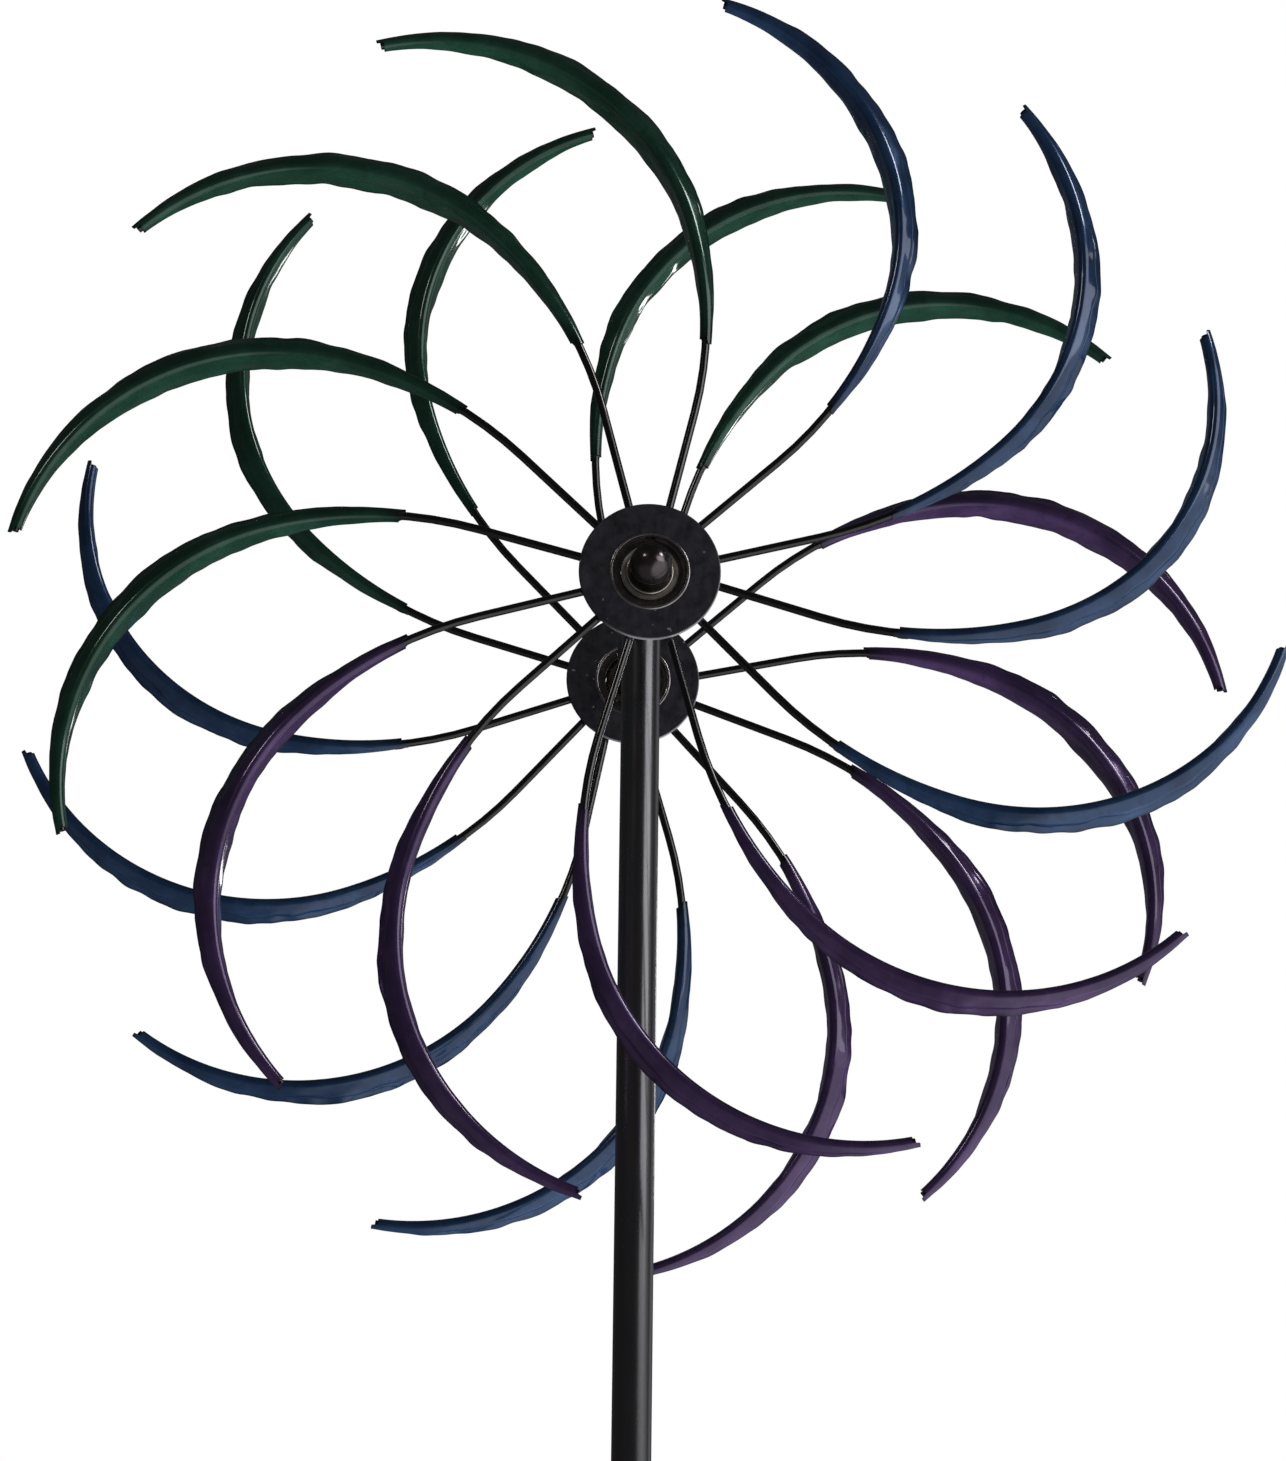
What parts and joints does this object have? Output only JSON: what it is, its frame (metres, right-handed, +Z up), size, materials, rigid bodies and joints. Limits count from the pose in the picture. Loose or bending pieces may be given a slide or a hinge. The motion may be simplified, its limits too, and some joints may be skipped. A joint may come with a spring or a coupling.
{
  "type": "kinetic wind sculpture",
  "caption": "Pole-mounted garden wind spinner whose front and rear rotors of hammered crescent blades turn opposite ways on ball bearings.",
  "frame": {"origin": "on the pole's axis at ground level, at the underside of the step bar, where the ground spike's shaft starts", "axes": "+Z up along the pole, -Y towards the front rotor, +X to the right seen from the front"},
  "size_m": [0.6174, 0.231, 1.9067],
  "materials": {
    "satin_black": "satin powder coat",
    "gloss_black": "gloss enamel",
    "blade_green": "gloss lacquer over hammered sheet",
    "blade_blue": "gloss lacquer over hammered sheet",
    "blade_purple": "gloss lacquer over hammered sheet",
    "bearing_steel": "ground, greasy",
    "dark_chrome": "black nickel plate",
    "zinc_steel": "zinc plate"
  },
  "bodies": {
    "mast": {"front_inner_race": "bearing_steel", "rear_inner_race": "bearing_steel", "axle": "zinc_steel", "axle_boss": "satin_black", "front_spacer": "satin_black", "rear_spacer": "satin_black", "front_washer": "dark_chrome", "rear_washer": "dark_chrome", "front_cap_nut": "dark_chrome", "rear_cap_nut": "dark_chrome", "upper_tube": "satin_black", "middle_tube": "satin_black", "lower_tube": "satin_black", "joint_screws": "zinc_steel", "joint_nuts": "zinc_steel", "step_bar": "satin_black", "ground_spike": "satin_black", "left_prong": "satin_black", "right_prong": "satin_black"},
    "front_rotor": {"front_hub_disc": "satin_black", "front_bearing_cup": "satin_black", "front_circlip": "bearing_steel", "front_outer_race": "bearing_steel", "front_rods": "gloss_black", "front_blade_01": "blade_green", "front_blade_02": "blade_blue", "front_blade_03": "blade_blue", "front_blade_04": "blade_blue", "front_blade_05": "blade_blue", "front_blade_06": "blade_purple", "front_blade_07": "blade_purple", "front_blade_08": "blade_purple", "front_blade_09": "blade_purple", "front_blade_10": "blade_green", "front_blade_11": "blade_green", "front_blade_12": "blade_green"},
    "front_ball_train": {"front_bearing_balls": "bearing_steel", "front_ball_cage": "bearing_steel"},
    "rear_rotor": {"rear_hub_disc": "satin_black", "rear_bearing_cup": "satin_black", "rear_circlip": "bearing_steel", "rear_outer_race": "bearing_steel", "rear_rods": "gloss_black", "rear_blade_01": "blade_green", "rear_blade_02": "blade_green", "rear_blade_03": "blade_blue", "rear_blade_04": "blade_blue", "rear_blade_05": "blade_blue", "rear_blade_06": "blade_blue", "rear_blade_07": "blade_purple", "rear_blade_08": "blade_purple", "rear_blade_09": "blade_purple", "rear_blade_10": "blade_purple", "rear_blade_11": "blade_green", "rear_blade_12": "blade_green"},
    "rear_ball_train": {"rear_bearing_balls": "bearing_steel", "rear_ball_cage": "bearing_steel"}
  },
  "joints": [
    {"name": "front_spin", "type": "hinge", "parent": "mast", "child": "front_rotor", "pos_m": [0, -0.081, 1.4], "axis": [0, -1, 0], "continuous": true},
    {"name": "front_ball_train_roll", "type": "hinge", "parent": "mast", "child": "front_ball_train", "pos_m": [0, -0.081, 1.4], "axis": [0, -1, 0], "continuous": true},
    {"name": "rear_spin", "type": "hinge", "parent": "mast", "child": "rear_rotor", "pos_m": [0, 0.094, 1.4], "axis": [0, -1, 0], "continuous": true},
    {"name": "rear_ball_train_roll", "type": "hinge", "parent": "mast", "child": "rear_ball_train", "pos_m": [0, 0.094, 1.4], "axis": [0, -1, 0], "continuous": true}
  ],
  "couplings": [
    {"joint": "front_ball_train_roll", "follows": "front_spin", "ratio": 0.6556},
    {"joint": "rear_ball_train_roll", "follows": "rear_spin", "ratio": 0.6556}
  ]
}
